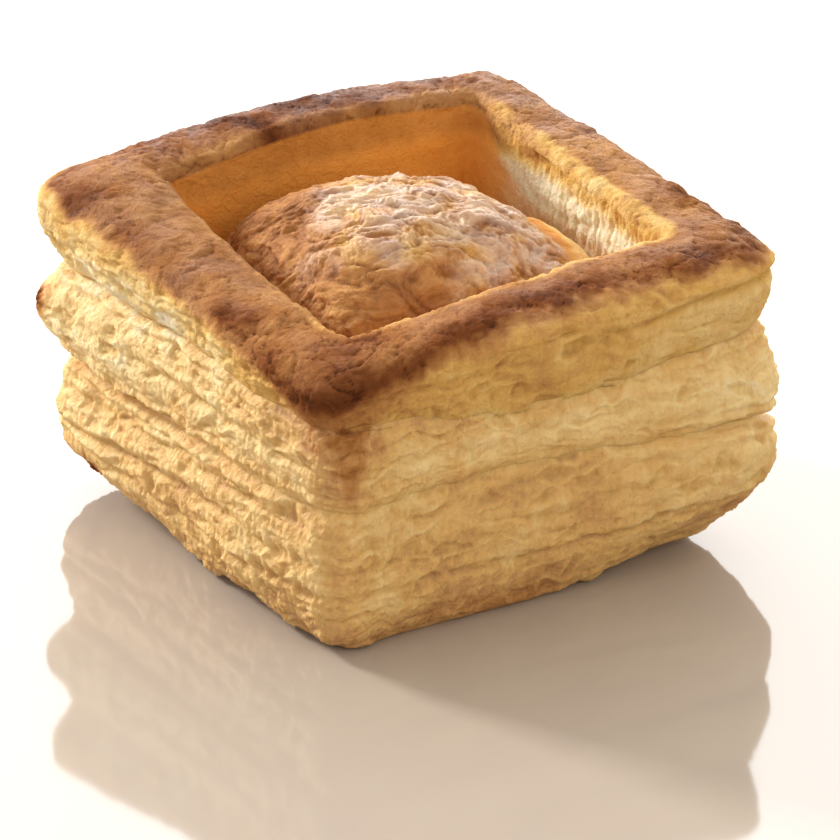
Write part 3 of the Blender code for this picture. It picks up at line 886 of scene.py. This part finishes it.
def grain_group():
    """Fine grain of baked dough: a height for the bump and a speckle mask, at one scale."""
    group, start, end = new_group(
        "fine_grain",
        [("Scale", "NodeSocketFloat", 1500.0), ("Stretch", "NodeSocketFloat", 1.0)],
        [("Height", "NodeSocketFloat"), ("Speckle", "NodeSocketFloat")])
    where = group.nodes.new("ShaderNodeTexCoord").outputs["Object"]
    size = wire(group, "ShaderNodeCombineXYZ", {"X": 1.0, "Y": 1.0, "Z": start.outputs["Stretch"]})
    spot = wire(group, "ShaderNodeVectorMath", {0: where, 1: size.outputs[0]},
                operation="MULTIPLY").outputs[0]
    fine = wire(group, "ShaderNodeTexNoise", {"Vector": spot, "Scale": start.outputs["Scale"],
                                              "Detail": 4.0, "Roughness": 0.6, "Distortion": 0.4})
    coarse_scale = calc(group, "MULTIPLY", start.outputs["Scale"], 0.3)
    coarse = wire(group, "ShaderNodeTexNoise", {"Vector": spot, "Scale": coarse_scale,
                                                "Detail": 5.0, "Roughness": 0.65, "Distortion": 0.8})
    height = calc(group, "MULTIPLY_ADD", coarse.outputs["Fac"], 1.6, fine.outputs["Fac"])
    speckle = wire(group, "ShaderNodeMapRange", {"Value": coarse.outputs["Fac"],
                                                 "From Min": 0.52, "From Max": 0.72})
    group.links.new(height, end.inputs["Height"])
    group.links.new(speckle.outputs[0], end.inputs["Speckle"])
    return group


def baking_group():
    """Colour and roughness of baked pastry from how browned and how hollow the place is. Hollows are
    darkened as painted shade, an orange tint that is partly painted light is mixed in, and the gloss input
    mixes in a painted pale highlight.
    """
    group, start, end = new_group(
        "baking",
        [("Browning", "NodeSocketFloat", 0.5), ("Hollow", "NodeSocketFloat", 0.0),
         ("Speckle", "NodeSocketFloat", 0.0), ("AmberAndPaintedLight", "NodeSocketFloat", 0.0),
         ("PaintedHighlight", "NodeSocketFloat", 0.0)],
        [("Color", "NodeSocketColor"), ("Roughness", "NodeSocketFloat")])
    # Painted shade: hollows move the colour further along the ramp, to darker
    level_with_hollow_shade = calc(group, "MULTIPLY_ADD", start.outputs["Hollow"], 0.09, start.outputs["Browning"])
    level = calc(group, "MULTIPLY_ADD", start.outputs["Speckle"], 0.07, level_with_hollow_shade)
    colour = ramp(group, level, (
        (0.0, (0.95, 0.84, 0.62)), (1.0, (0.09, 0.026, 0.010)), (0.18, (0.86, 0.64, 0.30)),
        (0.36, (0.72, 0.43, 0.13)), (0.52, (0.52, 0.255, 0.085)), (0.68, (0.35, 0.145, 0.046)),
        (0.84, (0.20, 0.064, 0.020))))
    rough = wire(group, "ShaderNodeMapRange", {"Value": level, "From Min": 0.2, "From Max": 0.8,
                                               "To Min": 0.62, "To Max": 0.30})
    # Painted shade: hollows are also multiplied by an olive tint
    hollow_shade = wire(group, "ShaderNodeMix", {0: start.outputs["Hollow"], 6: colour, 7: (0.84, 0.82, 0.66, 1.0)},
                 data_type="RGBA", blend_type="MULTIPLY")
    # An orange tint mixed in: painted glow on the inner walls, and on the middle partly painted shade
    amber_and_painted_light = wire(group, "ShaderNodeMix", {0: start.outputs["AmberAndPaintedLight"], 6: hollow_shade.outputs[2],
                                          7: (0.88, 0.36, 0.07, 1.0)}, data_type="RGBA")
    # Painted highlight: the gloss input mixes a pale pink into the colour
    pale = calc(group, "MULTIPLY", start.outputs["PaintedHighlight"], 0.42)
    painted_highlight = wire(group, "ShaderNodeMix", {0: pale, 6: amber_and_painted_light.outputs[2], 7: (0.97, 0.82, 0.74, 1.0)},
               data_type="RGBA")
    group.links.new(painted_highlight.outputs[2], end.inputs["Color"])
    group.links.new(rough.outputs[0], end.inputs["Roughness"])
    return group


def pastry_material(name, groups, grain_scale, stretch, bump):
    """Baked pastry: browned colour and grain over a body that lets some light through, with painted shade in
    the hollows, an orange tint that is partly painted light, and a painted pale highlight.
    """
    material = bpy.data.materials.new(name)
    material.use_nodes = True
    tree = material.node_tree
    shader = tree.nodes["Principled BSDF"]
    browning = wire(tree, "ShaderNodeAttribute", attribute_name="browning").outputs["Fac"]
    hollow = wire(tree, "ShaderNodeAttribute", attribute_name="hollow").outputs["Fac"]
    amber_and_painted_light = wire(tree, "ShaderNodeAttribute", attribute_name="amber_and_painted_light").outputs["Fac"]
    grain = wire(tree, "ShaderNodeGroup", node_tree=groups["grain"])
    grain.inputs["Scale"].default_value = grain_scale
    grain.inputs["Stretch"].default_value = stretch
    bake = wire(tree, "ShaderNodeGroup", {}, node_tree=groups["baking"])
    tree.links.new(browning, bake.inputs["Browning"])
    tree.links.new(hollow, bake.inputs["Hollow"])
    tree.links.new(amber_and_painted_light, bake.inputs["AmberAndPaintedLight"])
    tree.links.new(grain.outputs["Speckle"], bake.inputs["Speckle"])
    tree.links.new(bake.outputs["Color"], shader.inputs["Base Color"])
    relief = wire(tree, "ShaderNodeBump", {"Height": grain.outputs["Height"], "Strength": bump,
                                           "Distance": 0.45 * MM})
    tree.links.new(relief.outputs[0], shader.inputs["Normal"])
    soft = wire(tree, "ShaderNodeAttribute", attribute_name="soft").outputs["Fac"]
    tree.links.new(soft, shader.inputs["Subsurface Weight"])
    shader.inputs["Subsurface Radius"].default_value = (1.0, 0.55, 0.22)
    shader.inputs["Subsurface Scale"].default_value = 2.5 * MM
    # The gloss map sets the specular level and also mixes in a painted pale highlight
    gloss_and_highlight = wire(tree, "ShaderNodeAttribute", attribute_name="gloss_and_highlight").outputs["Fac"]
    tree.links.new(gloss_and_highlight, shader.inputs["Specular IOR Level"])
    tree.links.new(gloss_and_highlight, bake.inputs["PaintedHighlight"])
    smoother = calc(tree, "MULTIPLY_ADD", gloss_and_highlight, -0.15, bake.outputs["Roughness"])
    tree.links.new(smoother, shader.inputs["Roughness"])
    return material


def floor_material():
    """A pale, smooth table top with a soft mirror image."""
    material = bpy.data.materials.new("white_table")
    material.use_nodes = True
    shader = material.node_tree.nodes["Principled BSDF"]
    shader.inputs["Base Color"].default_value = (0.45, 0.39, 0.34, 1.0)
    shader.inputs["Roughness"].default_value = 0.06
    shader.inputs["Specular IOR Level"].default_value = 0.5
    return material


def make_floor():
    """A wide level table top just under the pastry."""
    half = 3.0
    drop = -0.05 * MM
    mesh = bpy.data.meshes.new("table_top")
    corners = [(-half, -half, drop), (half, -half, drop), (half, half, drop), (-half, half, drop)]
    mesh.from_pydata(corners, [], [(0, 1, 2, 3)])
    mesh.materials.append(floor_material())
    floor = bpy.data.objects.new("table_top", mesh)
    bpy.context.scene.collection.objects.link(floor)


def direction(azimuth, elevation):
    """The unit vector from the pastry towards a place round it. Azimuth 0 is at -Y."""
    flat = math.cos(elevation)
    return Vector((math.sin(azimuth) * flat, -math.cos(azimuth) * flat, math.sin(elevation)))


def area_light(name, azimuth, elevation, distance, size, power, colour):
    """A square lamp that faces the pastry from a place round it."""
    lamp = bpy.data.lights.new(name, "AREA")
    lamp.shape = "SQUARE"
    lamp.size = size
    lamp.energy = power
    lamp.color = colour
    holder = bpy.data.objects.new(name, lamp)
    away = direction(math.radians(azimuth), math.radians(elevation))
    holder.location = away * distance + Vector((0, 0, 30 * MM))
    holder.rotation_euler = away.to_track_quat("Z", "Y").to_euler()
    bpy.context.scene.collection.objects.link(holder)


def make_world():
    """A white studio: brighter low down behind the pastry, and white to the camera."""
    world = bpy.data.worlds.new("studio")
    world.use_nodes = True
    bpy.context.scene.world = world
    tree = world.node_tree
    background = tree.nodes["Background"]
    where = tree.nodes.new("ShaderNodeTexCoord").outputs["Generated"]
    behind = direction(CAMERA_AZIMUTH + math.pi, CAMERA_ELEVATION)
    facing = wire(tree, "ShaderNodeVectorMath", {0: where, 1: behind}, operation="DOT_PRODUCT")
    lit = ramp(tree, facing.outputs["Value"], (
        (0.30, (0.58, 0.56, 0.51)), (0.985, (4.6, 4.6, 4.6)), (0.86, (1.9, 1.85, 1.8))))
    seen = tree.nodes.new("ShaderNodeLightPath").outputs["Is Camera Ray"]
    colour = wire(tree, "ShaderNodeMix", {0: seen, 6: lit, 7: (1.1, 1.1, 1.1, 1.0)}, data_type="RGBA")
    tree.links.new(colour.outputs[2], background.inputs["Color"])


def make_camera():
    """The photo's camera: long lens, looking down a little from the near corner's side."""
    camera = bpy.data.cameras.new("camera")
    camera.sensor_width = SENSOR_WIDTH
    camera.lens = FOCAL_PIXELS / FRAME_PIXELS * SENSOR_WIDTH
    camera.clip_start = 0.01
    holder = bpy.data.objects.new("camera", camera)
    away = direction(CAMERA_AZIMUTH, CAMERA_ELEVATION)
    holder.location = CAMERA_TARGET + away * CAMERA_DISTANCE
    holder.rotation_euler = away.to_track_quat("Z", "Y").to_euler()
    bpy.context.scene.collection.objects.link(holder)
    bpy.context.scene.camera = holder


def main():
    """Make the looks, the four surfaces of the pastry, the table top, the lamps and the camera."""
    scene = bpy.context.scene
    scene.view_settings.view_transform = "Standard"
    groups = {"grain": grain_group(), "baking": baking_group()}
    flaky = pastry_material("flaky_side", groups, 1400.0, 0.7, 0.9)
    crust = pastry_material("browned_crust", groups, 2000.0, 1.0, 0.9)
    glazed = pastry_material("glazed_middle", groups, 2000.0, 1.0, 0.8)
    lower_layers(flaky)
    upper_layers(flaky)
    rim(crust)
    risen_middle(glazed)
    make_floor()
    for lamp in LAMPS:
        area_light(*lamp)
    make_world()
    make_camera()


main()
